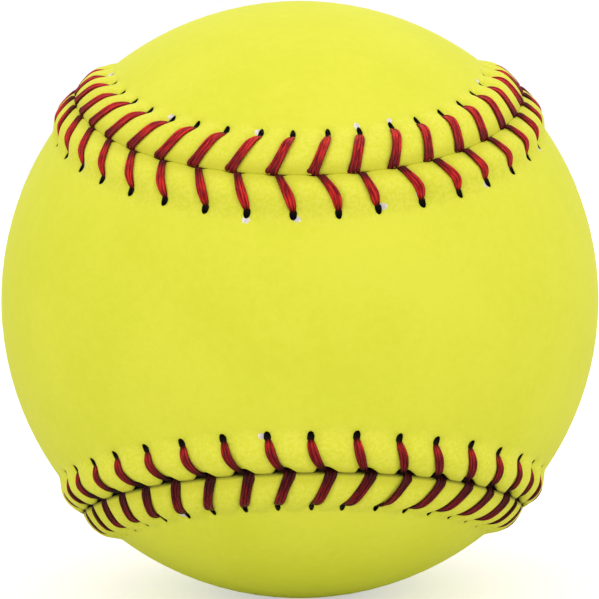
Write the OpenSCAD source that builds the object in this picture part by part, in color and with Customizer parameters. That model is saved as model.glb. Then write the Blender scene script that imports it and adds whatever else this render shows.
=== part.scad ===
// A 12 inch ball for fast-pitch play: a cork core wound with yarn, dipped in
// latex, and covered by two waisted leather panels that a raised, two-needle
// seam of 88 stitches joins. The front of the ball is towards -Y.

/* [Ball] */
// Radius of the plain leather, which gives a girth of 305
ball_radius = 48.5; // [46:0.5:51]
// Thickness of the plain leather
cover_thickness = 1.25; // [1:0.05:1.6]
// Room between the latex coat and the leather, for cement and the seam's threads
cement_gap = 0.45; // [0.42:0.02:0.6]
// Thickness of the latex coat
coat_thickness = 0.6; // [0.4:0.1:1.2]
// Depth of the wound yarn
winding_depth = 9; // [6:0.5:14]
// Clearance between one closed layer and the next
layer_clearance = 0.05; // [0.02:0.01:0.2]

/* [Seam path] */
// Share of the first wave in the path of the seam
first_wave_share = 0.711; // [0.69:0.003:0.735]
// Share of the fifth wave, which squares the turns of the path
fifth_wave_share = -0.0187; // [-0.03:0.0025:0]
// Stitches in the whole seam, a multiple of 8
stitch_count = 88; // [80:8:96]
// How far the first stitch stands past the path's start, as a share of a stitch
first_stitch_share = 0.18; // [0:0.02:1]
// How far the point of a stitch leads its two holes along the seam
stitch_lead = 2.3; // [1.6:0.1:2.8]
// How far the two legs of a stitch stand apart where they cross
stitch_stagger = 1.5; // [1.4:0.05:1.8]

/* [Raised lips] */
// Height of the lips' crests above the plain leather
lip_height = 1.85; // [1.4:0.05:2.2]
// Distance from the seam to the crest of each lip
crest_reach = 3.6; // [3.2:0.1:4]
// Width of each lip
lip_width = 7.1; // [7:0.1:7.8]
// Distance from the seam to the inner shoulder of each lip
shoulder_reach = 1.3; // [1.2:0.05:1.5]
// Depth of the groove that each thread presses into a lip
pinch_depth = 0.35; // [0.2:0.05:0.45]
// Height of the leather's edge between two stitches
edge_height = 0.85; // [0.6:0.05:1]
// How far the thread pulls the edge down at a stitch
edge_drop = 0.6; // [0.5:0.05:0.7]
// Gap between the two leather edges, between two stitches
edge_gap = 0.44; // [0.3:0.02:0.8]

/* [Needle holes] */
// Distance from the seam to the near rim of each hole
hole_reach = 5.75; // [5.5:0.05:6]
// Length of a hole, away from the seam
hole_length = 1.2; // [1:0.05:1.3]
// Width of a hole, along the seam
hole_width = 1.3; // [1.2:0.05:1.6]
// How much farther from the seam the hole comes through the flesh side
hole_slant = 0.6; // [0.45:0.05:0.8]

/* [Thread] */
// Width of the flattened thread on the leather
thread_width = 1.5; // [1.2:0.05:1.6]
// Thickness of the thread on the leather
thread_thickness = 0.7; // [0.5:0.05:0.75]
// Width of the thread where the hole squeezes it
squeezed_width = 0.8; // [0.6:0.05:0.85]
// Width of the thread as it dips between the edges
dipped_width = 1.1; // [0.8:0.05:1.15]
// Thickness of the thread under the leather and in the holes
hidden_thickness = 0.5; // [0.4:0.02:0.55]
// Clearance between the thread and the leather that it lies on
thread_clearance = 0.12; // [0.08:0.02:0.2]
// Clearance above and below the thread under the leather
tunnel_clearance = 0.22; // [0.18:0.02:0.3]
// Clearance between the thread and the edges that it dips between
dip_clearance = 0.78; // [0.74:0.02:0.84]
// Clearance between the thread and the near wall of its hole
hole_clearance = 0.17; // [0.12:0.01:0.22]

/* [Hidden] */

core_facets = 96;

// Radii of the layers, from the outside in
flesh_radius = ball_radius - cover_thickness;
coat_radius = flesh_radius - cement_gap;
winding_radius = coat_radius - coat_thickness;
core_radius = winding_radius - winding_depth;

// Points on which the length of the seam is measured
path_steps = 720;
// Angle on the path's own waves at which the travel starts
start_angle = 135;

// Places of a panel's plain rings, as shares of the way from lip to middle line
grain_ring_shares = [0.12, 0.36, 0.6, 0.85];
flesh_ring_shares = [0.3, 0.6, 0.85];
// Up to the first of these shares a ring keeps all its points, and past the last fewest
first_ring_share = 0.2;
last_ring_share = 0.8;
// Where the middle line of a panel ends, as an angle from the panel's middle
lobe_angle = 108;
// Stitches on each side of a lobe's tip where the plain rings keep every second point
lobe_stitches = 8;

// Heights of the tunnel under the lips, from the plain leather
tunnel_floor = -cover_thickness - cement_gap;
tunnel_middle = tunnel_floor + tunnel_clearance + hidden_thickness / 2;
tunnel_roof = tunnel_middle + hidden_thickness / 2 + tunnel_clearance;

// Distances from the seam
hole_end = hole_reach + hole_length;
hole_middle = hole_reach + hole_length / 2;
flesh_hole_end = hole_end + hole_slant;
open_edge = thread_thickness / 2 + dip_clearance;
closed_edge = edge_gap / 2;
thread_hole_reach = hole_reach + hidden_thickness / 2 + hole_clearance;
thread_dip_reach = shoulder_reach - thread_thickness / 2;

// Path of the seam on a ball of radius 1, at an angle of its travel. It starts at the
// tip of the front panel's lobe at -X and goes down round the front.
function seam_way(travel_angle) =
    let (turn = travel_angle + start_angle)
    let (third_wave_share = 1 - first_wave_share)
    let (x = first_wave_share * cos(turn) + third_wave_share * cos(3 * turn)
        + fifth_wave_share * cos(5 * turn))
    let (y = first_wave_share * sin(turn) - third_wave_share * sin(3 * turn)
        + fifth_wave_share * sin(5 * turn))
    let (z = 2 * sqrt(first_wave_share * third_wave_share) * sin(2 * turn))
    unit([(x - y) / sqrt(2), -z, (x + y) / sqrt(2)]);

function unit(v) = v / norm(v);

// Distance travelled on the ball of radius 1, beside the angle reached
path_points = [for (i = [0:path_steps]) seam_way(i * 360 / path_steps)];
path_runs = [for (i = 0, run = 0; i <= path_steps;
    run = run + (i < path_steps ? norm(path_points[i + 1] - path_points[i]) : 0), i = i + 1)
    [run, i * 360 / path_steps]];
seam_length = path_runs[path_steps][0] * ball_radius;
stitch_pitch = seam_length / stitch_count;
hole_share = hole_width / 2 / stitch_pitch;

// Angle of travel after a length of seam
function seam_turn(run) =
    let (laps = run / seam_length)
    lookup((laps - floor(laps)) * path_runs[path_steps][0], path_runs);

// Direction at a length of seam and a distance to its left
function seam_direction(run, reach) =
    let (turn = seam_turn(run))
    let (here = seam_way(turn))
    let (travel = unit(seam_way(turn + 360 / path_steps) - seam_way(turn - 360 / path_steps)))
    let (angle = reach / ball_radius * 180 / PI)
    cos(angle) * here + sin(angle) * unit(cross(here, travel));

// Point at a length of seam, a distance to its left and a height above the plain leather
function seam_point(run, reach, height) =
    (ball_radius + height) * seam_direction(run, reach);

// Length of seam at which a leg of a stitch lies, at a distance from the seam
function leg_run(stitch, reach) =
    (stitch + first_stitch_share) * stitch_pitch + stitch_lead * (1 - reach / hole_middle);

// Height of a lip at a distance from the seam: two quarter ellipses
function lip_rise(reach) =
    let (half_width = reach < crest_reach ? crest_reach : lip_width - crest_reach)
    let (share = (reach - crest_reach) / half_width)
    lip_height * sqrt(max(0, 1 - share * share));

// Height of the groove that a leg lies in
function groove_rise(reach) = lip_rise(reach) - pinch_depth;

// Rings of a cover panel. Each is a closed list of points in the travel's order, and each
// point has its place first, counted in stitches. A lip ring has a point under each leg
// and one halfway to the next leg.
function lip_ring(reach) = [for (place = [0:0.5:stitch_count - 0.5])
    let (height = place == floor(place) ? groove_rise(reach) : lip_rise(reach))
    [place, seam_point(leg_run(place, reach), reach, height)]];

// The edge dips and opens at each stitch, and closes up between two stitches
function edge_ring() = [for (place = [0:0.5:stitch_count - 0.5])
    let (at_stitch = place == floor(place))
    let (run = leg_run(place, closed_edge))
    [place, at_stitch
        ? seam_point(run, open_edge, edge_height - edge_drop)
        : seam_point(run, closed_edge, edge_height)]];

// A hole ring has a point on each side of every hole
function hole_ring(reach, height) = [for (stitch = [0:stitch_count - 1])
    let (after = leg_run(stitch, reach) + hole_width / 2)
    let (before_next = leg_run(stitch + 1, reach) - hole_width / 2)
    each [
        [stitch + hole_share, seam_point(after, reach, height)],
        [stitch + 1 - hole_share, seam_point(before_next, reach, height)],
    ]];

// A single ring has one point under each leg
function single_ring(reach, height) = [for (place = [0:stitch_count - 1])
    [place, seam_point(leg_run(place, reach), reach, height)]];

// Middle line of the panel, which the plain rings close in on
function middle_direction(travel_angle) =
    let (angle = lobe_angle * cos(travel_angle))
    [-sin(angle), -cos(angle), 0];

// A plain ring keeps all its points at the waists. Past the first ring, where they crowd
// round the tips of the lobes, it keeps every second one, and at last every fourth.
function plain_ring(share, radius) = [for (place = [0:stitch_count - 1])
    let (past_tip = place % (stitch_count / 2))
    let (from_tip = min(past_tip, stitch_count / 2 - past_tip))
    let (crowded = share > first_ring_share && from_tip < lobe_stitches)
    let (step = !crowded ? 1 : share > last_ring_share && from_tip < lobe_stitches / 2 ? 4 : 2)
    if (from_tip % step == 0)
        let (run = leg_run(place, hole_end))
        [place, radius * unit((1 - share) * seam_direction(run, hole_end)
            + share * middle_direction(seam_turn(run)))]];

// All rings, from the middle of the grain side, over the edge, to the middle of the flesh side
panel_rings = concat(
    [for (i = [len(grain_ring_shares) - 1:-1:0]) plain_ring(grain_ring_shares[i], ball_radius)],
    [
        hole_ring(hole_end, groove_rise(hole_end)),
        hole_ring(hole_reach, groove_rise(hole_reach)),
        lip_ring(crest_reach),
        lip_ring(shoulder_reach),
        edge_ring(),
        single_ring(open_edge, tunnel_roof),
        hole_ring(hole_reach, tunnel_roof),
        single_ring(flesh_hole_end, -cover_thickness),
    ],
    [for (share = flesh_ring_shares) plain_ring(share, flesh_radius)]);

grain_hole_ring = len(grain_ring_shares);
flesh_hole_ring = grain_hole_ring + 6;
last_ring = len(panel_rings) - 1;

ring_starts = [for (ring = 0, start = 0; ring <= last_ring;
    start = start + len(panel_rings[ring]), ring = ring + 1) start];

// Number of a ring's point, counted round and round
function corner(ring, i) =
    let (size = len(panel_rings[ring]))
    ring_starts[ring] + ((i % size) + size) % size;

// Place of a ring's point in stitches, counted on past the start
function corner_place(ring, i) =
    let (size = len(panel_rings[ring]))
    panel_rings[ring][i % size][0] + floor(i / size) * stitch_count;

// Whether the next face between a ring and the one after it runs along the first ring:
// the plain rings take the shorter way across, and the others go by place
function first_moves(ring, i, j) =
    j == len(panel_rings[ring + 1])
        || (i < len(panel_rings[ring])
            && (ring < grain_hole_ring - 1 || ring > flesh_hole_ring
                ? width_across(ring, i + 1, j) <= width_across(ring, i, j + 1)
                : corner_place(ring, i + 1) <= corner_place(ring + 1, j + 1)));

function width_across(ring, i, j) =
    let (here = panel_rings[ring][i % len(panel_rings[ring])][1])
    let (there = panel_rings[ring + 1][j % len(panel_rings[ring + 1])][1])
    norm(here - there);

// Whether a face covers a hole: two do on the grain side, and one on the flesh side
function over_hole(ring, i, j, first) =
    first
        ? i % 2 == 1 && (ring == grain_hole_ring || ring == flesh_hole_ring)
        : j % 2 == 1 && ring == grain_hole_ring;

// Faces between a ring and the next: a zip that moves along whichever ring is behind
function strip_faces(ring) =
    let (size = len(panel_rings[ring]))
    let (next_size = len(panel_rings[ring + 1]))
    [for (i = 0, j = 0, first = first_moves(ring, 0, 0); i < size || j < next_size;
        i = i + (first ? 1 : 0), j = j + (first ? 0 : 1), first = first_moves(ring, i, j))
        if (!over_hole(ring, i, j, first))
            first
                ? [corner(ring, i), corner(ring, i + 1), corner(ring + 1, j)]
                : [corner(ring, i), corner(ring + 1, j + 1), corner(ring + 1, j)]];

// Walls of a hole, from its four corners on the grain side to three on the flesh side
function hole_faces(i) =
    let (far_a = corner(grain_hole_ring, 2 * i - 1))
    let (far_b = corner(grain_hole_ring, 2 * i))
    let (near_a = corner(grain_hole_ring + 1, 2 * i - 1))
    let (near_b = corner(grain_hole_ring + 1, 2 * i))
    let (flesh_a = corner(flesh_hole_ring, 2 * i - 1))
    let (flesh_b = corner(flesh_hole_ring, 2 * i))
    let (flesh_far = corner(flesh_hole_ring + 1, i))
    [
        [near_b, near_a, flesh_a],
        [near_b, flesh_a, flesh_b],
        [near_a, far_a, flesh_far],
        [near_a, flesh_far, flesh_a],
        [far_b, near_b, flesh_b],
        [far_b, flesh_b, flesh_far],
        [far_a, far_b, flesh_far],
    ];

// Middle of a side, joined across from one long edge of its last ring to the other
function middle_faces(ring) =
    let (half_size = len(panel_rings[ring]) / 2)
    [for (i = [0:half_size - 1])
        each [
            if (i > 0)
                [corner(ring, i + 1), corner(ring, i), corner(ring, -i)],
            if (i < half_size - 1)
                [corner(ring, i + 1), corner(ring, -i), corner(ring, -i - 1)],
        ]];

function turned_over(faces) = [for (face = faces) [face[2], face[1], face[0]]];

// One waisted leather panel, with its waist at the front and its lobes at the sides
module cover_panel() {
    strips = [for (ring = [0:last_ring - 1]) each strip_faces(ring)];
    holes = [for (i = [0:stitch_count - 1]) each hole_faces(i)];
    middles = concat(middle_faces(0), turned_over(middle_faces(last_ring)));
    polyhedron(points = [for (ring = panel_rings, entry = ring) entry[1]],
        faces = concat(strips, holes, middles));
}

// A leg of a stitch: up through its hole, over the lip, into the gap and under the other
// lip. Each place holds the length of seam, the reach, the height, the width and the
// thickness. The side is 1 on the front panel and -1 on the back panel.
function stitch_places(stitch, side) =
    let (lag = -side * stitch_stagger / 2)
    [
        [leg_run(stitch, thread_hole_reach), side * thread_hole_reach, tunnel_middle,
            squeezed_width, hidden_thickness],
        [leg_run(stitch, thread_hole_reach), side * thread_hole_reach,
            groove_rise(hole_reach) + thread_thickness / 2, squeezed_width, hidden_thickness],
        [leg_run(stitch, crest_reach), side * crest_reach,
            groove_rise(crest_reach) + thread_thickness / 2 + thread_clearance,
            thread_width, thread_thickness],
        [leg_run(stitch, thread_dip_reach) + lag / 2, side * thread_dip_reach,
            groove_rise(shoulder_reach) + thread_thickness / 2 + thread_clearance,
            thread_width, thread_thickness],
        [leg_run(stitch, 0) + lag, 0, tunnel_middle, dipped_width, hidden_thickness],
    ];

// Every place along a thread, which changes panels from one stitch to the next
function thread_places(first_side) = [for (stitch = [0:stitch_count - 1])
    each stitch_places(stitch, stitch % 2 == 0 ? first_side : -first_side)];

// Thread of a flattened four-sided section along its places
module seam_thread(first_side) {
    places = thread_places(first_side);
    size = len(places);
    middles = [for (place = places) seam_point(place[0], place[1], place[2])];
    corners = [for (i = [0:size - 1])
        let (way = unit(middles[(i + 1) % size] - middles[(i + size - 1) % size]))
        let (turn = seam_turn(places[i][0]))
        let (travel = seam_way(turn + 360 / path_steps) - seam_way(turn - 360 / path_steps))
        let (across = unit(travel - (travel * way) * way))
        let (up = cross(way, across))
        let (half_width = places[i][3] / 2)
        let (half_thickness = places[i][4] / 2)
        each [
            middles[i] + half_width * across,
            middles[i] + half_thickness * up,
            middles[i] - half_width * across,
            middles[i] - half_thickness * up,
        ]];
    faces = [for (i = [0:size - 1], j = [0:3])
        let (here = 4 * i)
        let (next = 4 * ((i + 1) % size))
        let (k = (j + 1) % 4)
        each [
            [here + j, next + j, next + k],
            [here + j, next + k, here + k],
        ]];
    polyhedron(points = corners, faces = faces);
}

module ball_layer(outer_radius, inner_radius) {
    difference() {
        sphere(r = outer_radius, $fn = core_facets);
        sphere(r = inner_radius, $fn = core_facets);
    }
}

module cork_core() {
    color("peru")
        sphere(r = core_radius - layer_clearance, $fn = core_facets);
}

module yarn_winding() {
    color("lightgray")
        ball_layer(winding_radius - layer_clearance, core_radius);
}

module latex_coat() {
    color("ivory")
        ball_layer(coat_radius, winding_radius);
}

module front_cover_panel() {
    color("greenyellow")
        cover_panel();
}

// A quarter turn and a mirror carry the seam, and so the panel, onto the other half
module back_cover_panel() {
    color("yellow")
        rotate([0, -90, 0])
            mirror([0, 1, 0])
                cover_panel();
}

module leading_seam_thread() {
    color("firebrick")
        seam_thread(1);
}

module trailing_seam_thread() {
    color("crimson")
        seam_thread(-1);
}

cork_core();
yarn_winding();
latex_coat();
front_cover_panel();
back_cover_panel();
leading_seam_thread();
trailing_seam_thread();
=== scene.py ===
"""A 12 inch fast-pitch ball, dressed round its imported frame.

Two yellow leather panels with raised, puckered lips meet along one closed seam. Two waxed
red threads, each of three plies, cross from panel to panel through punched needle holes.
The cork core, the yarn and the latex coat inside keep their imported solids.

Shapes are worked out in millimetres, in the ball's own frame, and scaled when a mesh is made.
"""
import math

import bpy
import numpy as np
from mathutils import Matrix, Vector


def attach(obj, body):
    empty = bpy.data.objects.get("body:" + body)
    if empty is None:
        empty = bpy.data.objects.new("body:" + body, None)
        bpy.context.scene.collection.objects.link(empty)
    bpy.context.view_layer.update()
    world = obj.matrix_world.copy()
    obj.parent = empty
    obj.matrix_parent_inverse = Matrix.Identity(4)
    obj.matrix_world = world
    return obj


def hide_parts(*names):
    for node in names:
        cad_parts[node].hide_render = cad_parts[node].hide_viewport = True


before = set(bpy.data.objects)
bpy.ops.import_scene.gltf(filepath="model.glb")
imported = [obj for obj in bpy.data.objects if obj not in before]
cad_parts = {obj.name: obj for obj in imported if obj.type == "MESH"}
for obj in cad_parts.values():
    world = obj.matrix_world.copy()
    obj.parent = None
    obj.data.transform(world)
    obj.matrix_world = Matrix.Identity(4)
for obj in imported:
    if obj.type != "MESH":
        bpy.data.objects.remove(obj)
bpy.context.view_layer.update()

MM = 0.001
SEED = 1912
rng = np.random.default_rng(SEED)

# Ball and seam path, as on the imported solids
BALL_RADIUS = 48.5
COVER_THICKNESS = 1.25
FIRST_WAVE_SHARE = 0.711
THIRD_WAVE_SHARE = 1 - FIRST_WAVE_SHARE
FIFTH_WAVE_SHARE = -0.0187
START_ANGLE = 135
STITCH_COUNT = 88
LOBE_ANGLE = 108

# Places of the stitches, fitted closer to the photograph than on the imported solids
FIRST_STITCH_SHARE = 0.16
STITCH_LEAD = 2.6
STITCH_STAGGER = 1.1
PACE_ONCE_ROUND = -0.74
PACE_ONCE_START = 33.5
PACE_TWICE_ROUND = 1.45

# Raised lips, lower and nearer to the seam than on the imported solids
LIP_HEIGHT = 1.6
CREST_REACH = 2.9
LIP_WIDTH = 7.1
LIP_FULLNESS = 1.25
FOOT_SCALLOP = 0.5
GROOVE_DEPTH = 0.5
GROOVE_HALF_WIDTH = 0.8
GROOVE_FADE = 3
PILLOW_ROUNDNESS = 2.4
OPEN_EDGE = {1: 0.85, -1: 0.35}
CLOSED_SLOPE = 68
OPEN_SLOPE = 90
EDGE_HEIGHT = 0.95
EDGE_DROP = 0.75
OPENING_HALF_LENGTH = 1.45
OPENING_SHIFT = {1: 0.3, -1: -0.55}
UPPER_OPENING = 0.2
GAP_WALL_DROP = 0.4
GAP_WALL_SPLAY = 0.2
UPPER_WALL_SPLAY = 0.05
ROLL_SHADE_START = 0.7
ROLL_SHADE_LENGTH = 0.24

# Needle holes
HOLE_REACH = 5
HOLE_LENGTH = 1.9
HOLE_WIDTH = 1
UPRIGHT_SHARE = 0.95
RIM_DEPTH = 0.12
HOLE_SLANT = 1.5
SLANT_HALF_WIDTH = 1.5
PUCKER_DEPTH = 0.3
PUCKER_RADIUS = 1
PUCKER_SHIFT = 0.3
STRAY_REACH = 1.5
STRAY_HALF_WIDTH = 1.2
FRAY_DISTANCE = 0.6
FRAY_RADIUS = 0.66
FRAYED_SHARE = 0.62
LOW_FRAYED_LOSS = 0.85
FRAY_SOFTNESS = 0.1

# Thread
PLY_COUNT = 3
PLY_OVERLAP = 1.12
THREAD_THICKNESS = 0.48
THREAD_LIFT = 0.03
PLY_FLATNESS = 1.3
MIDDLE_PLY_RISE = 0.05

# Flesh side of the leather under the lips, and the way of the thread beneath it
TUNNEL_ROOF = -0.75
TUNNEL_MIDDLE = -1.22

HOLE_MIDDLE = HOLE_REACH + HOLE_LENGTH / 2
PANEL_SIDE = {"front": 1, "back": -1}

# How far the seam lies into a panel's waist, and the holes into the panel, by the sewing
SEAM_DRIFT = 0.6
HOLE_DRIFT = 0.2
LOBE_HOLE_DRIFT = 0.25
DRIFT_END = 9.6

# Heights on the ball between which the upper seam's look turns into the lower one's, with
# wider openings, fewer frays and more painted shade
UPPER_LOOK_HEIGHT = 12
LOWER_LOOK_HEIGHT = -32


def unit(vectors):
    """Each vector divided by its own length."""
    return vectors / np.linalg.norm(vectors, axis=-1, keepdims=True)


def seam_way(angle):
    """Directions of the seam at angles of its travel: first, third and fifth waves on a ball."""
    turn = np.radians(angle + START_ANGLE)
    x = (FIRST_WAVE_SHARE * np.cos(turn) + THIRD_WAVE_SHARE * np.cos(3 * turn)
         + FIFTH_WAVE_SHARE * np.cos(5 * turn))
    y = (FIRST_WAVE_SHARE * np.sin(turn) - THIRD_WAVE_SHARE * np.sin(3 * turn)
         + FIFTH_WAVE_SHARE * np.sin(5 * turn))
    z = 2 * math.sqrt(FIRST_WAVE_SHARE * THIRD_WAVE_SHARE) * np.sin(2 * turn)
    return unit(np.stack([(x - y) / math.sqrt(2), -z, (x + y) / math.sqrt(2)], -1))


PATH_STEPS = 5760
TANGENT_STEP = 0.25
path_angles = np.linspace(0, 360, PATH_STEPS + 1)
path_chords = np.linalg.norm(np.diff(seam_way(path_angles), axis=0), axis=1)
path_runs = np.concatenate([[0], np.cumsum(path_chords)]) * BALL_RADIUS
SEAM_LENGTH = path_runs[-1]
STITCH_PITCH = SEAM_LENGTH / STITCH_COUNT


def seam_turn(run):
    """Angle of travel after a length of seam."""
    return np.interp(np.mod(run, SEAM_LENGTH), path_runs, path_angles)


def seam_travel(run):
    """Direction in which the seam runs, from points a little ahead and behind."""
    turn = seam_turn(run)
    return unit(seam_way(turn + TANGENT_STEP) - seam_way(turn - TANGENT_STEP))


def seam_direction(run, reach):
    """Direction from the ball's centre at a length of seam and a distance to its left."""
    here = seam_way(seam_turn(run))
    left = unit(np.cross(here, seam_travel(run)))
    angle = (reach / BALL_RADIUS)[..., None]
    return np.cos(angle) * here + np.sin(angle) * left


def low_share(run):
    """0 along the upper seam and 1 along the lower one: a smooth step down the seam's height."""
    height = BALL_RADIUS * seam_way(seam_turn(run))[..., 2]
    return smooth_step((UPPER_LOOK_HEIGHT - height) / (UPPER_LOOK_HEIGHT - LOWER_LOOK_HEIGHT))


def drift(run, reach, side):
    """How far the leather lies into its panel: at the seam the waist's width is drawn in and
    the lobes' let out, and the holes lie deeper, mostly in the lobes; it dies away past them."""
    waist = -side * np.cos(np.radians(2 * seam_turn(run)))
    share = smooth_step(reach / HOLE_MIDDLE)
    beyond = smooth_step((reach - HOLE_MIDDLE) / (DRIFT_END - HOLE_MIDDLE))
    holes = HOLE_DRIFT - LOBE_HOLE_DRIFT * waist
    return SEAM_DRIFT * waist * (1 - share) + holes * share * (1 - beyond)


def middle_direction(angle, side):
    """Middle line of a panel: an arc that swings into each lobe as the cosine of the travel."""
    swing = np.radians(LOBE_ANGLE * np.cos(np.radians(angle if side > 0 else angle - 90)))
    none = np.zeros_like(swing)
    if side > 0:
        return np.stack([-np.sin(swing), -np.cos(swing), none], -1)
    return np.stack([none, np.cos(swing), -np.sin(swing)], -1)


def smooth_step(value):
    """0 below 0, 1 above 1, and the cubic 3t2 - 2t3 between."""
    t = np.clip(value, 0, 1)
    return t * t * (3 - 2 * t)


def bell(distance):
    """Falls from 1 as exp(-d2)."""
    return np.exp(-distance ** 2)


# The hand's small errors, one per panel and stitch, which leather and thread share
ROW_OF_SIDE = {1: 0, -1: 1}
ERRORS = (2, STITCH_COUNT)
HOLE_SHIFT_SPREAD = 0.16
HOLE_STRAY_SPREAD = 0.1
LEG_PULL_SPREAD = 0.12
LEG_ROLL_SPREAD = 7
LEG_BOW_SPREAD = 0.08
FRONT_LEG_BOW = 0.12
hole_shift = rng.normal(0, HOLE_SHIFT_SPREAD, ERRORS)
hole_stray = rng.normal(0, HOLE_STRAY_SPREAD, ERRORS)
leg_pull = rng.normal(1, LEG_PULL_SPREAD, ERRORS)
leg_roll = rng.normal(0, LEG_ROLL_SPREAD, ERRORS)
leg_bow = rng.normal(0, LEG_BOW_SPREAD, ERRORS) + np.array([[FRONT_LEG_BOW], [0]])
rim_fray = rng.random(ERRORS)
fray_turn = rng.uniform(0, 360, ERRORS)


def by_place(errors, place, side):
    """A panel's errors, joined by straight lines round the seam."""
    row = errors[ROW_OF_SIDE[side]]
    return np.interp(np.mod(place, STITCH_COUNT), np.arange(STITCH_COUNT + 1),
                     np.append(row, row[0]))


def paced(run):
    """Where the hand sets a stitch that belongs at a run: ahead or behind by two slow waves."""
    turn = 2 * np.pi * run / SEAM_LENGTH
    once = PACE_ONCE_ROUND * np.sin(turn + math.radians(PACE_ONCE_START))
    return run + once + PACE_TWICE_ROUND * np.sin(2 * turn)


def leg_run(place, reach, side):
    """Length of seam along a leg: a lead that falls evenly from the seam to just before the
    hole's middle and then stays, so that the hole stands upright; less for the front panel's
    leg than for the back one's; with the hand's pace and shift and a slight bow."""
    share = reach / HOLE_MIDDLE
    lead = (STITCH_LEAD - side * STITCH_STAGGER / 2) * (1 - np.minimum(share, UPRIGHT_SHARE))
    shift = by_place(hole_shift, place, side) * smooth_step(share)
    bow = by_place(leg_bow, place, side) * np.sin(np.pi * np.clip(share, 0, 1))
    return paced((place + FIRST_STITCH_SHARE) * STITCH_PITCH) + lead + shift - bow


def pillow(offset):
    """0 in the groove under a leg and 1 halfway to the next: one minus a falling power."""
    free = STITCH_PITCH / 2 - GROOVE_HALF_WIDTH
    share = np.clip((np.abs(offset) - GROOVE_HALF_WIDTH) / free, 0, 1)
    return 1 - (1 - share) ** PILLOW_ROUNDNESS


def opening(offset, place, side):
    """How far a panel's edge is pulled back beside a leg, falling as a fourth-power bell:
    fully along the lower seam, and less along the upper one."""
    middle = offset - OPENING_SHIFT[side]
    full = UPPER_OPENING + (1 - UPPER_OPENING) * low_share(place * STITCH_PITCH)
    return full * np.exp(-(middle / OPENING_HALF_LENGTH) ** 4)


def groove(offset, reach, place, side):
    """Depth that a leg's pull presses in: full over the lip, and fading past the hole."""
    fade = 1 - smooth_step((reach - HOLE_REACH) / GROOVE_FADE)
    return GROOVE_DEPTH * by_place(leg_pull, place, side) * (1 - pillow(offset)) * fade


def pucker(offset, reach):
    """Dent round a needle hole: a bell of the distance from its near half."""
    distance = np.hypot(offset, reach - HOLE_REACH - PUCKER_SHIFT)
    return PUCKER_DEPTH * bell(distance / PUCKER_RADIUS)


def lip_height(offset, reach, place, side):
    """Height from the crest outwards: a smooth step down to a scalloped foot, kept full by a
    power of the way, less the groove and the dent."""
    foot = LIP_WIDTH + FOOT_SCALLOP * (pillow(offset) - 0.5)
    share = np.clip((reach - CREST_REACH) / (foot - CREST_REACH), 0, 1)
    fall = LIP_HEIGHT * (1 - smooth_step(share ** LIP_FULLNESS))
    return fall - groove(offset, reach, place, side) - pucker(offset, reach)


def edge_reach(offset, place, side):
    """Distance from the seam to a panel's cut edge: wide at a stitch, nearly closed between."""
    return OPEN_EDGE[side] * opening(offset, place, side)


def edge_height(offset, place, side):
    """Height at which the edge turns down into the gap."""
    return EDGE_HEIGHT - EDGE_DROP * opening(offset, place, side)


def edge_slope(offset, place, side):
    """Angle through which the roll turns: a quarter circle at a stitch, less where it closes."""
    return np.radians(CLOSED_SLOPE + (OPEN_SLOPE - CLOSED_SLOPE) * opening(offset, place, side))


def roll_point(offset, share, place, side):
    """Reach and height from crest to edge: an arc, stretched to end there, by share of turn."""
    turn = edge_slope(offset, place, side)
    crest = lip_height(offset, np.full_like(offset, CREST_REACH), place, side)
    way = np.sin(share * turn) / np.sin(turn)
    fall = (1 - np.cos(share * turn)) / (1 - np.cos(turn))
    reach = CREST_REACH - (CREST_REACH - edge_reach(offset, place, side)) * way
    return reach, crest - (crest - edge_height(offset, place, side)) * fall


def rolled_height(offset, reach, place, side):
    """Height of the rolled edge at a reach: the same arc, solved for the height."""
    turn = edge_slope(offset, place, side)
    crest = lip_height(offset, np.full_like(reach, CREST_REACH), place, side)
    way = np.clip((CREST_REACH - reach) / (CREST_REACH - edge_reach(offset, place, side)), 0, 1)
    fall = (1 - np.sqrt(1 - (way * np.sin(turn)) ** 2)) / (1 - np.cos(turn))
    return crest - (crest - edge_height(offset, place, side)) * fall


def leather_height(offset, reach, place, side):
    """Height of the grain side on either side of the crest."""
    return np.where(reach > CREST_REACH, lip_height(offset, reach, place, side),
                    rolled_height(offset, np.minimum(reach, CREST_REACH), place, side))


# Columns of a panel: offsets from a leg, closest where the hole and the thread are
COLUMN_OFFSETS = np.array([-2.1, -1.6, -1.2, -0.85, -HOLE_WIDTH / 2, -HOLE_WIDTH / 4, 0,
                           HOLE_WIDTH / 4, HOLE_WIDTH / 2, 0.85, 1.2, 1.6, 2.1, STITCH_PITCH / 2])
HOLE_COLUMNS = (4, 8)
# Rows, in the order of the mesh: inner rows as shares of the way to the middle line
INNER_SHARES = np.array([0.97, 0.9, 0.8, 0.7, 0.6, 0.5, 0.4, 0.3, 0.2, 0.12, 0.06])
FLESH_SHARES = np.array([0.06, 0.25, 0.5, 0.75, 0.97])
FAR_REACHES = np.array([DRIFT_END, 8.9, 8.3, 7.85, 7.5, 7.2])
HOLE_REACHES = HOLE_REACH + HOLE_LENGTH * np.linspace(1, 0, 7)
NEAR_REACHES = np.array([4.78, 4.5, 4.15, 3.75, 3.3, CREST_REACH])
ROLL_SHARES = np.array([0.13, 0.26, 0.39, 0.52, 0.63, 0.73, 0.83, 0.92, 1])
TUNNEL_REACHES = np.array([1.2, 3, 4.5])
FLESH_REACHES = np.array([8.9, DRIFT_END])


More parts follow.
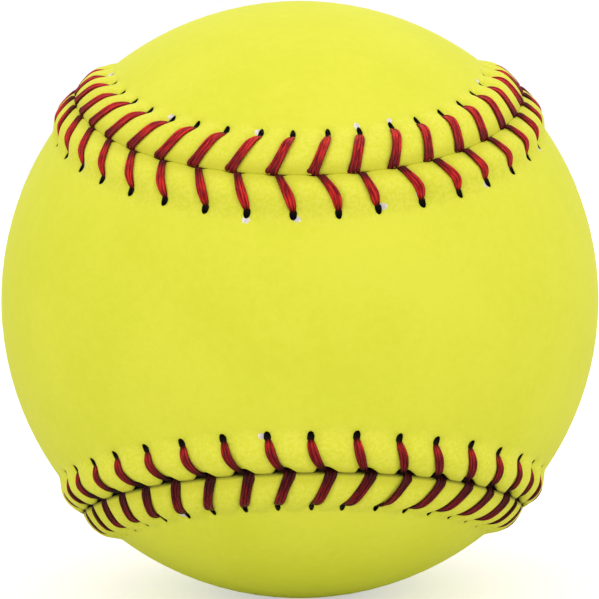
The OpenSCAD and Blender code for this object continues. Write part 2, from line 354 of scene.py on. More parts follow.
def round_holes(offset, reach):
    """Turns each hole's square of columns and rows into an ellipse: the square is mapped to a
    disc, and the change dies away at twice the hole's size."""
    a = offset / (HOLE_WIDTH / 2)
    b = (reach - HOLE_MIDDLE) / (HOLE_LENGTH / 2)
    ring = np.maximum(np.maximum(np.abs(a), np.abs(b)), 1e-6)
    share = 1 - smooth_step(ring - 1)
    round_a = a * np.sqrt(1 - (b / ring) ** 2 / 2)
    round_b = b * np.sqrt(1 - (a / ring) ** 2 / 2)
    new_offset = (a + (round_a - a) * share) * HOLE_WIDTH / 2
    new_reach = HOLE_MIDDLE + (b + (round_b - b) * share) * HOLE_LENGTH / 2
    return new_offset, new_reach


class Rows:
    """Rows of a panel as they are worked out: each adds its points and its masks."""

    def __init__(self, side):
        stitch = np.repeat(np.arange(STITCH_COUNT), len(COLUMN_OFFSETS))
        self.side = side
        self.stitch = stitch
        self.offset = np.tile(COLUMN_OFFSETS, STITCH_COUNT)
        self.points, self.reaches, self.runs, self.dark, self.fray = [], [], [], [], []

    def add(self, offset, reach, height, dark):
        """A row at offsets from the legs, reaches from the seam and heights."""
        place = self.stitch + offset / STITCH_PITCH
        stray = hole_stray[ROW_OF_SIDE[self.side], self.stitch]
        stray = stray * bell((reach - HOLE_MIDDLE) / STRAY_REACH) * bell(offset / STRAY_HALF_WIDTH)
        run = leg_run(place, reach, self.side)
        inward = drift(run, reach, self.side)
        direction = seam_direction(run, self.side * (reach + stray + inward))
        self.points.append((BALL_RADIUS + height)[:, None] * direction)
        self.note(run, reach, dark, self.fraying(offset, reach, run))

    def fraying(self, offset, reach, run):
        """Raw leather at the rim of some holes, fewer of them below: a bell of the distance from
        a point at a turn round the hole."""
        row = ROW_OF_SIDE[self.side]
        share = FRAYED_SHARE * (1 - LOW_FRAYED_LOSS * low_share(run))
        strength = smooth_step((share - rim_fray[row, self.stitch]) / FRAY_SOFTNESS)
        turn = np.radians(fray_turn[row, self.stitch])
        across = offset - FRAY_DISTANCE * np.cos(turn)
        along = reach - HOLE_MIDDLE - FRAY_DISTANCE * HOLE_LENGTH / HOLE_WIDTH * np.sin(turn)
        return strength * bell(np.hypot(across, along) / FRAY_RADIUS)

    def add_inner(self, share, height, dark):
        """A row at a share of the way from the last lip row to the middle line."""
        reach = np.full_like(self.offset, FAR_REACHES[0])
        run = leg_run(self.stitch + self.offset / STITCH_PITCH, reach, self.side)
        start = seam_direction(run, self.side * reach)
        end = middle_direction(seam_turn(run), self.side)
        direction = unit((1 - share) * start + share * end)
        self.points.append((BALL_RADIUS + height) * direction)
        depth = reach + share * BALL_RADIUS * np.arccos(np.sum(start * end, -1))
        self.note(run, depth, dark, np.zeros_like(reach))

    def note(self, run, reach, dark, fray):
        """Keeps a row's seam run, reach and masks."""
        self.runs.append(run)
        self.reaches.append(reach)
        self.dark.append(np.full_like(reach, dark))
        self.fray.append(fray)


def panel_rows(side):
    """A panel's rows: middle line, lip, rolled edge, gap wall, tunnel, flesh, middle line."""
    rows = Rows(side)
    offset, place = rows.offset, rows.stitch + rows.offset / STITCH_PITCH
    for share in INNER_SHARES:
        rows.add_inner(share, 0, 0)
    for reach in np.concatenate([FAR_REACHES, HOLE_REACHES, NEAR_REACHES]):
        new_offset, new_reach = round_holes(offset, np.full_like(offset, reach))
        height = leather_height(new_offset, new_reach, place, side)
        rows.add(new_offset, new_reach, height, 0)
    # Painted shade: dark on the edge turning in beside a stitch, on the upper gap wall at stitches
    # and all along the lower seam, and on the tunnel, hole walls and flesh side
    shade = opening(offset, place, side)
    for share in ROLL_SHARES:
        reach, height = roll_point(offset, share, place, side)
        turned_in = smooth_step((share - ROLL_SHADE_START) / ROLL_SHADE_LENGTH)
        rows.add(offset, reach, height, shade * turned_in)
    edge, low = edge_reach(offset, place, side), edge_height(offset, place, side)
    wall_shade = np.maximum(shade, low_share(place * STITCH_PITCH))
    rows.add(offset, edge + UPPER_WALL_SPLAY, low - GAP_WALL_DROP, wall_shade)
    rows.add(offset, edge + GAP_WALL_SPLAY, np.full_like(offset, TUNNEL_ROOF), 1)
    for reach in TUNNEL_REACHES:
        rows.add(offset, np.full_like(offset, reach), np.full_like(offset, TUNNEL_ROOF), 1)
    for reach in HOLE_REACHES[::-1]:
        new_offset, new_reach = round_holes(offset, np.full_like(offset, reach))
        slant = HOLE_SLANT * bell(new_offset / SLANT_HALF_WIDTH)
        fall = smooth_step((reach - HOLE_REACH) / HOLE_LENGTH)
        height = np.full_like(offset, TUNNEL_ROOF - (COVER_THICKNESS + TUNNEL_ROOF) * fall)
        rows.add(new_offset, new_reach + slant, height, 1)
    for reach in FLESH_REACHES:
        rows.add(offset, np.full_like(offset, reach), np.full_like(offset, -COVER_THICKNESS), 1)
    for share in FLESH_SHARES:
        rows.add_inner(share, -COVER_THICKNESS, 1)
    return rows


FIRST_HOLE_ROW = len(INNER_SHARES) + len(FAR_REACHES)
LAST_HOLE_ROW = FIRST_HOLE_ROW + len(HOLE_REACHES) - 1
FLESH_HOLE_ROW = LAST_HOLE_ROW + len(NEAR_REACHES) + len(ROLL_SHARES) + 2 + len(TUNNEL_REACHES) + 1


def hole_rim(first_row, down, columns):
    """Corner numbers round every hole's rim, from one corner of its square round to the next."""
    low, high = HOLE_COLUMNS
    steps = len(HOLE_REACHES) - 1
    row = np.concatenate([np.zeros(high - low), np.arange(steps), np.full(high - low, steps),
                          np.arange(steps, 0, -1)]).astype(int)
    column = np.concatenate([np.arange(low, high), np.full(steps, high),
                             np.arange(high, low, -1), np.full(steps, low)]).astype(int)
    start = np.arange(STITCH_COUNT)[:, None] * len(COLUMN_OFFSETS)
    return (first_row + down * row) * columns + start + column


def panel_faces(row_count, columns, side, lobe_column):
    """Quads between rows, less the holes; walls of the holes; and quads across each middle, in
    pairs of columns that lie as far before and after a lobe's end."""
    row = np.arange(row_count - 1)[:, None]
    column = np.arange(columns)[None, :]
    after = (column + 1) % columns
    quads = np.stack(np.broadcast_arrays(row * columns + column, (row + 1) * columns + column,
                                         (row + 1) * columns + after, row * columns + after), -1)
    within = np.arange(columns) % len(COLUMN_OFFSETS)
    in_columns = (within >= HOLE_COLUMNS[0]) & (within < HOLE_COLUMNS[1])
    rows = np.arange(row_count - 1)
    steps = len(HOLE_REACHES) - 1
    in_rows = (((rows >= FIRST_HOLE_ROW) & (rows < LAST_HOLE_ROW))
               | ((rows >= FLESH_HOLE_ROW) & (rows < FLESH_HOLE_ROW + steps)))
    kept = quads[~(in_rows[:, None] & in_columns[None, :])]
    grain = hole_rim(FIRST_HOLE_ROW, 1, columns)
    ring = row_count * columns + np.arange(grain.size).reshape(grain.shape)
    flesh = hole_rim(FLESH_HOLE_ROW + steps, -1, columns)
    walls = np.concatenate([
        np.stack([above, below, np.roll(below, -1, 1), np.roll(above, -1, 1)], -1)
        for above, below in ((grain, ring), (ring, flesh))])
    half = np.arange(columns // 2 - 1)
    across = np.stack([half, half + 1, columns - 2 - half, columns - 1 - half], -1)
    across = (across + lobe_column) % columns
    last = (row_count - 1) * columns
    faces = np.concatenate([kept, walls.reshape(-1, 4), across, last + across[:, ::-1]])
    return faces if side > 0 else faces[:, ::-1]


def make_mesh(name, points, faces, material):
    """A smooth mesh of quads, in metres, that rides on the ball."""
    mesh = bpy.data.meshes.new(name)
    mesh.vertices.add(len(points))
    mesh.vertices.foreach_set("co", (points * MM).astype(np.float32).ravel())
    mesh.loops.add(faces.size)
    mesh.loops.foreach_set("vertex_index", faces.astype(np.int32).ravel())
    mesh.polygons.add(len(faces))
    mesh.polygons.foreach_set("loop_start", np.arange(0, faces.size, 4, dtype=np.int32))
    mesh.polygons.foreach_set("use_smooth", np.ones(len(faces), bool))
    mesh.update(calc_edges=True)
    mesh.validate()
    mesh.materials.append(material)
    piece = bpy.data.objects.new(name, mesh)
    bpy.context.scene.collection.objects.link(piece)
    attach(piece, "root")
    return piece


def set_mask(piece, name, values):
    """A number at each corner of the mesh, which its material reads by name."""
    attribute = piece.data.attributes.new(name, "FLOAT", "POINT")
    attribute.data.foreach_set("value", values.astype(np.float32).ravel())


def set_uv(piece, name, faces, u, v, lap):
    """UV map from corner values, where u closes on itself after a lap."""
    face_u, face_v = u[faces], v[faces]
    face_u = face_u + lap * np.round((face_u[:, :1] - face_u) / lap)
    layer = piece.data.uv_layers.new(name=name)
    layer.data.foreach_set("uv", np.stack([face_u, face_v], -1).astype(np.float32).ravel())


def leather_panel(name, side, material):
    """One waisted panel: its rows joined, with its masks and its map along the seam."""
    rows = panel_rows(side)
    columns = len(rows.offset)
    turn_from_lobe = seam_turn(rows.runs[0]) - (0 if side > 0 else 90)
    lobe_column = int(np.argmax(np.cos(np.radians(turn_from_lobe))))
    faces = panel_faces(len(rows.points), columns, side, lobe_column)
    points, dark, fray, reaches, runs = (
        np.concatenate(values)
        for values in (rows.points, rows.dark, rows.fray, rows.reaches, rows.runs))
    rim = hole_rim(FIRST_HOLE_ROW, 1, columns).ravel()
    points = np.concatenate([points, points[rim] * (1 - RIM_DEPTH / BALL_RADIUS)])
    # The sunken rim ring of each hole is painted dark, as painted shade
    dark = np.concatenate([dark, np.ones(len(rim))])
    fray, reaches, runs = (
        np.concatenate([values, values[rim]]) for values in (fray, reaches, runs))
    piece = make_mesh(name, points, faces, material)
    set_mask(piece, "dark", dark)
    set_mask(piece, "fray", fray)
    set_mask(piece, "reach", reaches)
    set_uv(piece, "along_seam", faces, runs, reaches, SEAM_LENGTH)
    return piece


# Stations of a leg, from under its hole, over the lip, into the gap and under the other lip:
# reach, rise over the leather, width, painted shade towards the hole and the gap, painted shade
# of the lower seam's hole ends, painted highlight of the front legs' hole ends, and the heights
# of the hidden stations by their numbers
HALF_THREAD = THREAD_THICKNESS / 2
LEG_REACHES = np.array([5.5, 5.44, 5.3, 4.95, 4.45, 3.8, CREST_REACH, 2.2, 1.5, 0.95, 0.55, 0.27, 0,
                        -0.3, -1.1, -5.1])
LEG_RISES = (HALF_THREAD + THREAD_LIFT) * np.array([
    0, 0, -0.1, 0.7, 1, 1, 1, 1, 1, 1, 0.95, 0.5, 0, 0, 0, 0])
FRONT_WIDTHS = np.array([0.7, 0.8, 1, 1.24, 1.4, 1.45, 1.4, 1.3, 1.18, 1.1, 1.08, 1.08, 1.1, 1,
                         1, 0.8])
BACK_WIDTHS = np.array([0.7, 0.8, 0.95, 1.2, 1.38, 1.48, 1.5, 1.5, 1.55, 1.64, 1.74, 1.86, 1.9, 1.2,
                        1.1, 0.8])
FRONT_DARKS = np.array([1, 1, 0.8, 0.12, 0, 0, 0.05, 0.18, 0.48, 0.86, 0.98, 1, 1, 1, 1, 1])
BACK_DARKS = np.array([1, 1, 0.8, 0.12, 0, 0, 0.08, 0.3, 0.5, 0.64, 0.74, 0.85, 1, 1, 1, 1])
LOW_END_DARKS = np.array([1, 1, 1, 0.8, 0.15, 0, 0, 0, 0, 0, 0, 0, 0, 0, 0, 0])
END_HIGHLIGHTS = np.array([0, 0, 0.7, 1, 0.3, 0, 0, 0, 0, 0, 0, 0, 0, 0, 0, 0])
HIDDEN_HEIGHTS = {0: TUNNEL_MIDDLE, 1: -0.5, 12: 0, 13: TUNNEL_ROOF, 14: TUNNEL_MIDDLE,
                  15: TUNNEL_MIDDLE}


def leg_stations(stitch, side):
    """Centre points of a leg's stations, and the seam's run at each."""
    place = np.full(len(LEG_REACHES), float(stitch))
    own = np.maximum(LEG_REACHES, 0)
    height = leather_height(np.zeros_like(own), own, place, side) + LEG_RISES
    for station, hidden in HIDDEN_HEIGHTS.items():
        height[station] = hidden
    stray = hole_stray[ROW_OF_SIDE[side], stitch] * bell((own - HOLE_MIDDLE) / STRAY_REACH)
    run = leg_run(place, own, side)
    sides = np.where(LEG_REACHES < 0, -side, side)
    depth = np.abs(LEG_REACHES)
    inward = np.where(LEG_REACHES < 0, drift(run, depth, -side), drift(run, depth, side))
    return run, sides * (depth + stray * (LEG_REACHES > 0) + inward), height


def closed_spline(values, pieces):
    """Catmull-Rom spline round a closed list, with equal steps between its values."""
    before, after = np.roll(values, 1, 0), np.roll(values, -1, 0)
    beyond = np.roll(values, -2, 0)
    t = (np.arange(pieces) / pieces)[None, :, None]
    p0, p1, p2, p3 = (array[:, None, :] for array in (before, values, after, beyond))
    curve = (2 * p1 + (p2 - p0) * t + (2 * p0 - 5 * p1 + 4 * p2 - p3) * t ** 2
             + (3 * p1 - p0 - 3 * p2 + p3) * t ** 3) / 2
    return curve.reshape(-1, values.shape[1])


PLY_SIDES = 8
SPLINE_STEPS = 2


def seam_thread(name, first_side, material):
    """A thread's plies: flattened tubes side by side along the spline through its stations."""
    centres, runs, widths, darks, shines, rolls = [], [], [], [], [], []
    for stitch in range(STITCH_COUNT):
        side = first_side if stitch % 2 == 0 else -first_side
        run, reach, height = leg_stations(stitch, side)
        centres.append((BALL_RADIUS + height)[:, None] * seam_direction(run, reach))
        runs.append(run)
        widths.append(FRONT_WIDTHS if side > 0 else BACK_WIDTHS)
        # Painted shade towards the hole and the gap, and at the back legs' hole ends along the
        # lower seam
        darks.append(FRONT_DARKS if side > 0
                     else np.maximum(BACK_DARKS, LOW_END_DARKS * low_share(run)))
        # Painted highlight at the front legs' hole ends, lifting the lower seam's painted shade
        shines.append(END_HIGHLIGHTS * (side > 0))
        rolls.append(np.full(len(LEG_REACHES), leg_roll[ROW_OF_SIDE[side], stitch]))
    table = np.column_stack([np.concatenate(centres), seam_travel(np.concatenate(runs)),
                             np.concatenate(widths), np.concatenate(darks),
                             np.concatenate(rolls), np.concatenate(shines)])
    table = closed_spline(table, SPLINE_STEPS)
    centre, travel = table[:, :3], table[:, 3:6]
    width, dark, roll, shine = table[:, 6], table[:, 7], np.radians(table[:, 8]), table[:, 9]
    way = unit(np.roll(centre, -1, 0) - np.roll(centre, 1, 0))
    across = unit(travel - np.sum(travel * way, -1, keepdims=True) * way)
    up = np.cross(way, across)
    rolled = np.cos(roll)[:, None] * across + np.sin(roll)[:, None] * up
    risen = np.cos(roll)[:, None] * up - np.sin(roll)[:, None] * across
    length = np.concatenate([[0], np.cumsum(np.linalg.norm(np.diff(centre, axis=0), axis=1))])
    lap = length[-1] + np.linalg.norm(centre[0] - centre[-1])
    half_ply = width / 2 / PLY_COUNT * PLY_OVERLAP
    half_thick = np.minimum(HALF_THREAD, half_ply * PLY_FLATNESS)
    angle = 2 * np.pi * np.arange(PLY_SIDES) / PLY_SIDES
    points, masks, shone, flanks, us, vs, faces = [], [], [], [], [], [], []
    rings = len(centre)
    for ply in range(PLY_COUNT):
        place = 2 * ply / (PLY_COUNT - 1) - 1
        middle = centre + (place * (width / 2 - half_ply))[:, None] * rolled
        middle = middle + (MIDDLE_PLY_RISE * (1 - abs(place))) * risen
        ring = (middle[:, None, :]
                + (half_ply[:, None] * np.cos(angle))[..., None] * rolled[:, None, :]
                + (half_thick[:, None] * np.sin(angle))[..., None] * risen[:, None, :])
        here = np.arange(rings)[:, None] * PLY_SIDES + np.arange(PLY_SIDES)
        after = np.roll(here, -1, 0)
        quads = np.stack([here, after, np.roll(after, -1, 1), np.roll(here, -1, 1)], -1)
        faces.append(quads.reshape(-1, 4) + ply * rings * PLY_SIDES)
        points.append(ring.reshape(-1, 3))
        masks.append(np.repeat(dark, PLY_SIDES))
        shone.append(np.repeat(shine, PLY_SIDES))
        # Ply flanks, which are painted darker as shade between the plies
        flanks.append(np.tile(np.abs(np.cos(angle)), rings))
        us.append(np.repeat(length, PLY_SIDES))
        vs.append(np.tile(angle, rings) * half_ply.mean() + ply)
    faces = np.concatenate(faces)
    piece = make_mesh(name, np.concatenate(points), faces, material)
    set_mask(piece, "dark", np.concatenate(masks))
    set_mask(piece, "shine", np.concatenate(shone))
    set_mask(piece, "flank", np.concatenate(flanks))
    set_uv(piece, "along_thread", faces, np.concatenate(us), np.concatenate(vs), lap)
    return piece


class Value:
    """A shader number. Its operators add Math nodes."""

    def __init__(self, paint, socket):
        self.paint, self.socket = paint, socket

    def math(self, operation, *others):
        """A Math node of this number and others."""
        return self.paint.node("ShaderNodeMath", {"operation": operation},
                               dict(enumerate([self, *others])))

    def __add__(self, other):
        return self.math("ADD", other)

    def __sub__(self, other):
        return self.math("SUBTRACT", other)

    def __rsub__(self, other):
        return (self * -1) + other

    def __mul__(self, other):
        return self.math("MULTIPLY", other)

    __radd__ = __add__

    def step(self, low, high):
        """0 below low, 1 above high, and smooth between."""
        return self.paint.node("ShaderNodeMapRange", {"interpolation_type": "SMOOTHSTEP"},
                               {"Value": self, "From Min": low, "From Max": high})


class Paint:
    """A material under construction: one method makes every node."""

    def __init__(self, name):
        self.material = bpy.data.materials.new(name)
        self.material.use_nodes = True
        self.tree = self.material.node_tree
        self.shader = self.tree.nodes["Principled BSDF"]

    def node(self, kind, settings, inputs, output=0):
        """One node with its settings and inputs; gives back one of its outputs."""
        made = self.tree.nodes.new(kind)
        for name, value in settings.items():
            setattr(made, name, value)
        for name, value in inputs.items():
            self.feed(made, name, value)
        return Value(self, made.outputs[output])

    def feed(self, node, name, value):
        """Links or sets one input, found by its number, its identifier or its name."""
        named = {socket.identifier: socket for socket in node.inputs}
        socket = node.inputs[name] if isinstance(name, int) else named.get(name)
        socket = node.inputs[name] if socket is None else socket
        if isinstance(value, Value):
            self.tree.links.new(value.socket, socket)
        else:
            socket.default_value = value

    def set(self, **constants):
        """Sets the shader's own sockets, with _ in place of spaces."""
        for name, value in constants.items():
            self.shader.inputs[name.replace("_", " ")].default_value = value

    def drive(self, name, value):
        """Links a value to one of the shader's own sockets."""
        self.feed(self.shader, name, value)

    def place(self, scale=(1, 1, 1)):
        """Object coordinates in millimetres, stretched by a scale."""
        coordinates = self.node("ShaderNodeTexCoord", {}, {}, "Object")
        return self.node("ShaderNodeMapping", {}, {"Vector": coordinates,
                                                   "Scale": [s / MM for s in scale]})

    def height(self):
        """Height over the ball's centre, in millimetres."""
        return self.node("ShaderNodeSeparateXYZ", {}, {"Vector": self.place()}, "Z")

    def map(self, name, scale):
        """The piece's own map, in millimetres, stretched by a scale."""
        uv = self.node("ShaderNodeUVMap", {"uv_map": name}, {})
        return self.node("ShaderNodeMapping", {}, {"Vector": uv, "Scale": scale})

    def mask(self, name):
        """A mask of the mesh, from 0 to 1, or another number that it holds."""
        return self.node("ShaderNodeAttribute", {"attribute_name": name}, {}, "Fac")

    def noise(self, vector, scale, detail=3, roughness=0.5):
        """Noise from 0 to 1, whose scale is about the number of lumps per millimetre."""
        return self.node("ShaderNodeTexNoise", {}, {"Vector": vector, "Scale": scale,
                                                    "Detail": detail, "Roughness": roughness})

    def cells(self, vector, scale, feature="F1"):
        """Distance within cells, whose scale is about their number per millimetre."""
        return self.node("ShaderNodeTexVoronoi", {"feature": feature},
                         {"Vector": vector, "Scale": scale}, "Distance")

    def mix(self, share, first, second):
        """From the first colour to the second."""
        return self.node("ShaderNodeMix", {"data_type": "RGBA"},
                         {"Factor_Float": share, "A_Color": first, "B_Color": second},
                         "Result")

    def bump(self, height, distance, strength=1):
        """Fine relief: a height from 0 to about 1 stands for a distance in millimetres."""
        self.drive("Normal", self.node("ShaderNodeBump", {}, {
            "Height": height, "Distance": distance * MM, "Strength": strength}))


def plain(red, green, blue):
    """A colour as it is seen on a screen, from 0 to 255, turned linear."""
    share = [c / 255 for c in (red, green, blue)]
    linear = [c / 12.92 if c <= 0.04045 else ((c + 0.055) / 1.055) ** 2.4 for c in share]
    return (*linear, 1)


# Reaches from the seam over which a look of the leather fades: the drawn lips, and the
# painted shade of the valley and of the crease
LIP_FADE = (5.5, 9)
VALLEY_SHADE_FADE = (0.2, 2.2)
CREASE_FADE = (0, 0.5)
# Raw fibres: how far noise moves their border, and where the mask cuts them off
RAGGEDNESS = 0.7
FRAY_CUT = (0.42, 0.62)
# Colours of the leather and of its raw fibres, and the painted shade of the valley, of the
# crease and of the holes and gap
YELLOW = plain(221, 237, 60)
LIGHT_YELLOW = plain(227, 242, 70)
DRAWN_YELLOW = plain(206, 222, 44)
PALE_DRAWN_YELLOW = plain(242, 242, 112)
VALLEY_SHADE_YELLOW = plain(200, 208, 46)
CREASE_SHADE = plain(96, 100, 26)
GREY_FIBRE = plain(206, 210, 210)
WHITE_FIBRE = plain(244, 250, 250)
HOLE_SHADE = plain(20, 17, 8)


def leather_paint():
    """Dyed yellow leather: fine grain and pores, drawn creases on the lips, raw pale fibres at
    frayed holes, painted shade in the valley and in the lower seam's crease, and painted dark
    shade where the gap and the holes go down."""
    paint = Paint("optic_yellow_leather")
    place = paint.place()
    broad = paint.noise(place, 0.06, 2)
    mottle = paint.noise(place, 0.7, 4, 0.6)
    grain = paint.cells(place, 1.9, "SMOOTH_F1")
    pores = paint.noise(place, 4.5, 2)
    seam = paint.map("along_seam", (1, 0.22, 1))
    drawn = paint.noise(seam, 1.1, 3)
    reach = paint.mask("reach")
    on_lip = 1 - reach.step(*LIP_FADE)
    valley_shade = 1 - reach.step(*VALLEY_SHADE_FADE)
    crease = 1 - reach.step(*CREASE_FADE)
    low = 1 - paint.height().step(LOWER_LOOK_HEIGHT, UPPER_LOOK_HEIGHT)
    colour = paint.mix((broad * 0.6 + mottle * 0.4).step(0.35, 0.65), YELLOW, LIGHT_YELLOW)
    stretched = paint.mix(paint.noise(place, 2.1, 3).step(0.38, 0.62),
                          DRAWN_YELLOW, PALE_DRAWN_YELLOW)
    colour = paint.mix(on_lip * 0.25, colour, stretched)
    # Painted shade in the valley between the lips
    colour = paint.mix(valley_shade * 0.7, colour, VALLEY_SHADE_YELLOW)
    # Painted shade in the crease along the lower seam
    colour = paint.mix(crease * low * 0.8, colour, CREASE_SHADE)
    ragged = paint.noise(place, 1.6, 3) * RAGGEDNESS - RAGGEDNESS / 2
    frayed = (paint.mask("fray") + ragged).step(*FRAY_CUT)
    colour = paint.mix(frayed, colour,
                       paint.mix(ragged.step(-0.12, 0.12), GREY_FIBRE, WHITE_FIBRE))
    # Painted shade, dark where the holes and the gap go down
    colour = paint.mix(paint.mask("dark"), colour, HOLE_SHADE)
    paint.drive("Base Color", colour)
    paint.drive("Roughness", 0.56 + mottle * 0.12 + paint.mask("dark") * 0.3)
    paint.set(Specular_IOR_Level=0.22)
    paint.bump(grain * 0.5 + pores * 0.35 + drawn * on_lip * 2.4, 0.06)
    return paint.material


# Colours of the thread: as lit above, with painted shade along the lower seam, on the ply
# flanks and in the gap
RED = plain(122, 12, 24)
BRIGHT_RED = plain(226, 50, 44)
FLANK_SHADE_RED = plain(84, 8, 20)
SHADED_RED = plain(62, 4, 14)
SHADED_BRIGHT_RED = plain(116, 14, 26)
SHADED_FLANK_RED = plain(26, 2, 8)
GAP_SHADE_RED = plain(18, 3, 6)


def thread_paint():
    """Waxed red cotton: twisted fibres along each ply, with painted shade on the ply flanks, along
    the lower seam and where it dives into the gap, and a painted highlight at the front legs' hole
    ends."""
    paint = Paint("waxed_red_thread")
    fibres = paint.noise(paint.map("along_thread", (0.5, 4.5, 1)), 1, 3)
    twist = paint.node("ShaderNodeTexWave", {"wave_type": "BANDS", "bands_direction": "DIAGONAL"},
                       {"Vector": paint.map("along_thread", (1, 1.6, 1)), "Scale": 0.55,
                        "Distortion": 1.2, "Detail": 2}, "Fac")
    strands, flank = fibres.step(0.35, 0.65), paint.mask("flank").step(0.45, 0.98)
    colour = paint.mix(strands, RED, BRIGHT_RED)
    # Painted shade on the flanks of the plies
    colour = paint.mix(flank * 0.62, colour, FLANK_SHADE_RED)
    # Painted shade: darker copies of the thread's colours for the lower seam
    shaded = paint.mix(strands, SHADED_RED, SHADED_BRIGHT_RED)
    shaded = paint.mix(flank * 0.85, shaded, SHADED_FLANK_RED)
    low = 1 - paint.height().step(LOWER_LOOK_HEIGHT, UPPER_LOOK_HEIGHT)
    # Painted shade along the lower seam, less under the painted highlight at the front legs' hole
    # ends
    colour = paint.mix(low * (1 - paint.mask("shine") * 0.75) * 0.9, colour, shaded)
    # Painted shade towards the holes and in the gap, deeper along the lower seam
    colour = paint.mix(paint.mask("dark") * (0.84 + low * 0.14), colour, GAP_SHADE_RED)
    paint.drive("Base Color", colour)
    paint.drive("Roughness", 0.42 + fibres * 0.2)
    paint.set(Specular_IOR_Level=0.15)
    paint.bump(fibres * 0.7 + twist * 0.6, 0.08)
    return paint.material


def cork_paint():
    """Pressed cork: pale and brown granules with dark binder between them."""
    paint = Paint("pressed_cork")
    place = paint.place()
    granules = paint.node("ShaderNodeTexVoronoi", {}, {"Vector": place, "Scale": 0.45}, "Color")
    tone = paint.node("ShaderNodeSeparateColor", {}, {"Color": granules}, 0)
    joints = paint.cells(place, 0.45, "DISTANCE_TO_EDGE").step(0, 0.08)
    specks = paint.noise(place, 2.2, 4)
    colour = paint.mix(tone * 0.7 + specks * 0.3, plain(150, 104, 62), plain(206, 160, 108))
    colour = paint.mix(joints, plain(86, 54, 30), colour)
    paint.drive("Base Color", colour)
    paint.set(Roughness=0.85)
    paint.bump(joints * 0.6 + specks * 0.4, 0.3)
    return paint.material


def yarn_paint():
    """Wound yarn: two layers of fine turns that cross, as bands over the ball."""
    paint = Paint("wound_yarn")
    place = paint.place()
    turns = {"wave_type": "BANDS"}
    over = paint.node("ShaderNodeTexWave", {**turns, "bands_direction": "DIAGONAL"},
                      {"Vector": place, "Scale": 0.35, "Distortion": 3, "Detail": 2,
                       "Detail Scale": 0.4}, "Fac")
    under = paint.node("ShaderNodeTexWave", {**turns, "bands_direction": "Z"},
                       {"Vector": place, "Scale": 0.4, "Distortion": 4, "Detail": 2,
                        "Detail Scale": 0.3}, "Fac")
    layer = paint.noise(place, 0.08, 2).step(0.45, 0.55)
    height = over * layer + under * (1 - layer)
    colour = paint.mix(height, plain(150, 146, 138), plain(226, 222, 212))
    paint.drive("Base Color", colour)
    paint.set(Roughness=0.9, Sheen_Weight=0.2)
    paint.bump(height, 0.4)
    return paint.material


def latex_paint():
    """Dipped latex: a cream skin with soft runs and tiny bubbles."""
    paint = Paint("dipped_latex")
    place = paint.place()
    runs = paint.noise(place, 0.12, 3)
    bubbles = paint.cells(place, 1.6).step(0.05, 0.2)
    colour = paint.mix(runs.step(0.3, 0.7), plain(214, 196, 150), plain(238, 226, 190))
    paint.drive("Base Color", colour)
    paint.drive("Roughness", 0.35 + runs * 0.2)
    paint.bump(runs * 0.8 + bubbles * 0.2, 0.15)
    return paint.material


def dress_node(node, material):
    """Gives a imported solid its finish."""
    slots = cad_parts[node].data.materials
    slots.clear()
    slots.append(material)


# Camera, as the photograph saw the ball
FRAME_PIXELS = 599
CAMERA_DISTANCE = 308.6
FOCAL_PIXELS = 1877
BALL_CENTRE_PIXELS = (299.3, 299.0)
TILT, YAW, ROLL = 4.6, 1.09, -0.6
SENSOR = 36
CLIP_START, CLIP_END = 0.01, 10


def make_camera():
    """Camera that looks at the ball's centre, tilted down, turned and rolled."""
    turned = (Matrix.Rotation(math.radians(ROLL), 3, "Y")
              @ Matrix.Rotation(math.radians(TILT), 3, "X")
              @ Matrix.Rotation(math.radians(YAW), 3, "Z")).transposed()
    right, ahead, above = (turned @ Vector(axis) for axis in ((1, 0, 0), (0, 1, 0), (0, 0, 1)))
    camera = bpy.data.objects.new("camera", bpy.data.cameras.new("camera"))
    bpy.context.scene.collection.objects.link(camera)
    camera.matrix_world = Matrix.Translation(-ahead * CAMERA_DISTANCE * MM) @ Matrix(
        [right, above, -ahead]).transposed().to_4x4()
    camera.data.sensor_width = SENSOR
    camera.data.lens = SENSOR * FOCAL_PIXELS / FRAME_PIXELS
    middle = (FRAME_PIXELS - 1) / 2
    camera.data.shift_x = (middle - BALL_CENTRE_PIXELS[0]) / FRAME_PIXELS
    camera.data.shift_y = (BALL_CENTRE_PIXELS[1] - middle) / FRAME_PIXELS
    camera.data.clip_start = CLIP_START
    camera.data.clip_end = CLIP_END
    bpy.context.scene.camera = camera


# Studio: a pale floor, an even surround and one broad lamp above the front
FLOOR_HALF_WIDTH = 3000
FLOOR_LIFT = (0.49, 0.5, 0.5)
SURROUND_STRENGTH = 0.475
LAMP_STRENGTH = 2.1
LAMP_SPREAD = 150
LAMP_COLOUR = (1, 0.76, 0.77)
LAMP_FROM = (0.06, -0.45, 0.89)


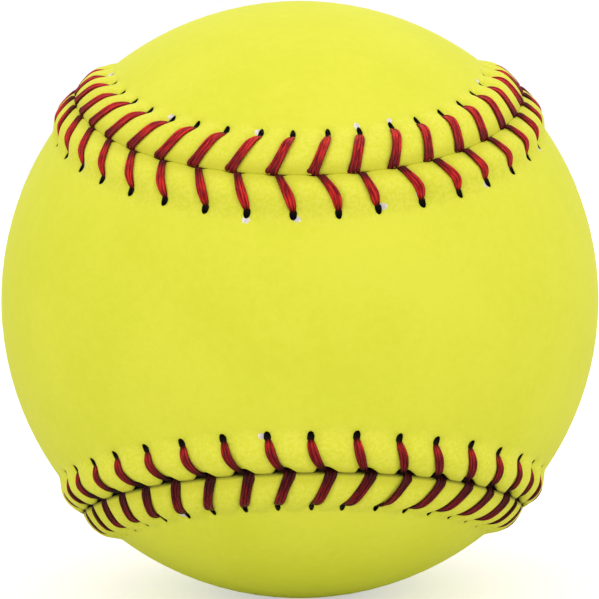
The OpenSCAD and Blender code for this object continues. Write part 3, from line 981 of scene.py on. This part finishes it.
def make_floor():
    """A flat pale sheet through the ball's lowest point."""
    half, low = FLOOR_HALF_WIDTH * MM, -BALL_RADIUS * MM
    mesh = bpy.data.meshes.new("floor")
    mesh.from_pydata([(-half, -half, low), (half, -half, low), (half, half, low),
                      (-half, half, low)], [], [(0, 1, 2, 3)])
    paint = Paint("pale_floor")
    dust = paint.noise(paint.place(), 0.02, 2)
    paint.drive("Base Color", paint.mix(dust, plain(232, 232, 232), plain(237, 237, 237)))
    paint.set(Roughness=0.8, Specular_IOR_Level=0, Emission_Strength=1)
    seen = paint.node("ShaderNodeLightPath", {}, {}, "Is Camera Ray")
    paint.drive("Emission Color", paint.mix(seen, plain(0, 0, 0), (*FLOOR_LIFT, 1)))
    mesh.materials.append(paint.material)
    floor = bpy.data.objects.new("floor", mesh)
    bpy.context.scene.collection.objects.link(floor)


def make_surround():
    """Even light all round, which the camera and reflections see as white."""
    world = bpy.data.worlds.new("surround")
    bpy.context.scene.world = world
    world.use_nodes = True
    tree = world.node_tree
    light, path = tree.nodes["Background"], tree.nodes.new("ShaderNodeLightPath")
    seen = tree.nodes.new("ShaderNodeMath")
    seen.operation = "MAXIMUM"
    tree.links.new(path.outputs["Is Camera Ray"], seen.inputs[0])
    tree.links.new(path.outputs["Is Glossy Ray"], seen.inputs[1])
    strength = tree.nodes.new("ShaderNodeMapRange")
    strength.inputs["To Min"].default_value = SURROUND_STRENGTH
    strength.inputs["To Max"].default_value = 1
    tree.links.new(seen.outputs[0], strength.inputs["Value"])
    tree.links.new(strength.outputs["Result"], light.inputs["Strength"])
    light.inputs["Color"].default_value = (1, 1, 1, 1)


def make_lamp():
    """A broad soft lamp, turned to shine from its place above the front."""
    lamp = bpy.data.objects.new("soft_lamp", bpy.data.lights.new("soft_lamp", "SUN"))
    bpy.context.scene.collection.objects.link(lamp)
    lamp.data.energy = LAMP_STRENGTH
    lamp.data.angle = math.radians(LAMP_SPREAD)
    lamp.data.color = LAMP_COLOUR
    lamp.rotation_euler = Vector(LAMP_FROM).to_track_quat("Z", "Y").to_euler()


bpy.context.scene.view_settings.view_transform = "Standard"
make_camera()
make_floor()
make_surround()
make_lamp()

leather = leather_paint()
front_panel = leather_panel("front_cover_leather", PANEL_SIDE["front"], leather)
back_panel = leather_panel("back_cover_leather", PANEL_SIDE["back"], leather)
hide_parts("front_cover_panel")
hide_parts("back_cover_panel")

red = thread_paint()
leading = seam_thread("leading_seam_plies", 1, red)
trailing = seam_thread("trailing_seam_plies", -1, red)
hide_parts("leading_seam_thread")
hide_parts("trailing_seam_thread")

dress_node("cork_core", cork_paint())
dress_node("yarn_winding", yarn_paint())
dress_node("latex_coat", latex_paint())
